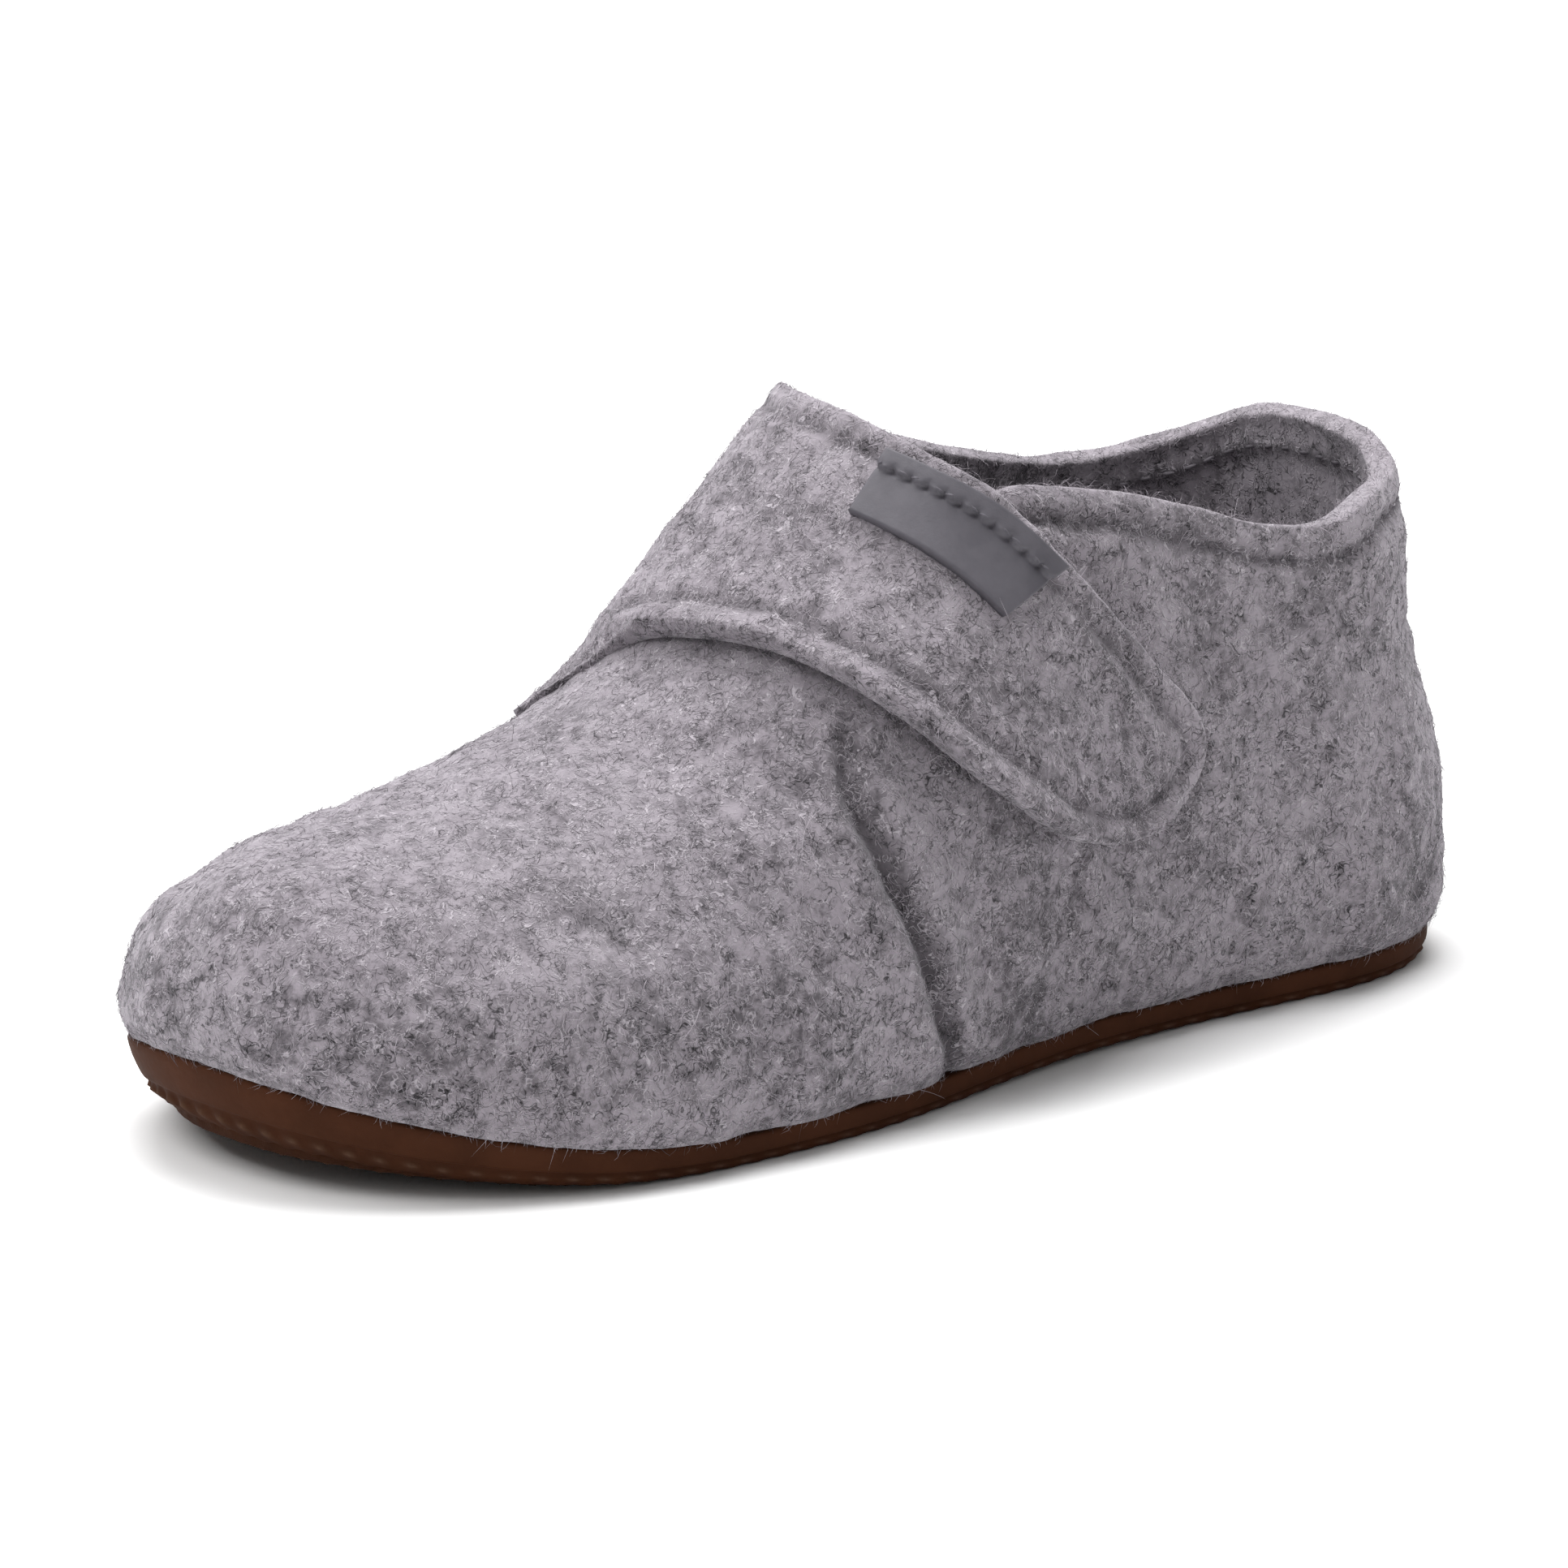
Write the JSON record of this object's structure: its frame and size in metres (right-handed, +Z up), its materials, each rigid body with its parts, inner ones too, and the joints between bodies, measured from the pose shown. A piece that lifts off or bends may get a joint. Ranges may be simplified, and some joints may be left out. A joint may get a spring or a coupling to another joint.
{
  "type": "felt baby shoe",
  "caption": "Small child's left shoe in grey boiled-wool felt, with a wide strap over the instep, a bare side tab and a thin brown ribbed rubber sole.",
  "frame": {"origin": "On the floor, under the middle of the shoe's bounding box", "axes": "+X runs to the heel and -X to the toe, -Y is the outer side of the foot, +Y is the inner side, +Z is up"},
  "size_m": [0.1406, 0.058, 0.0605],
  "materials": {
    "grey_felt": "matt boiled-wool felt, mottled mid grey with a short nap",
    "inner_felt": "matt felt, darker grey",
    "sole_rubber": "dark brown rubber with a dull sheen",
    "tab_rubber": "smooth blue-grey rubber with a soft sheen"
  },
  "bodies": {
    "root": {"outsole": "sole_rubber", "insole": "inner_felt", "upper": "grey_felt", "tongue": "inner_felt", "strap": "grey_felt", "label_tab": "tab_rubber"}
  },
  "joints": []
}
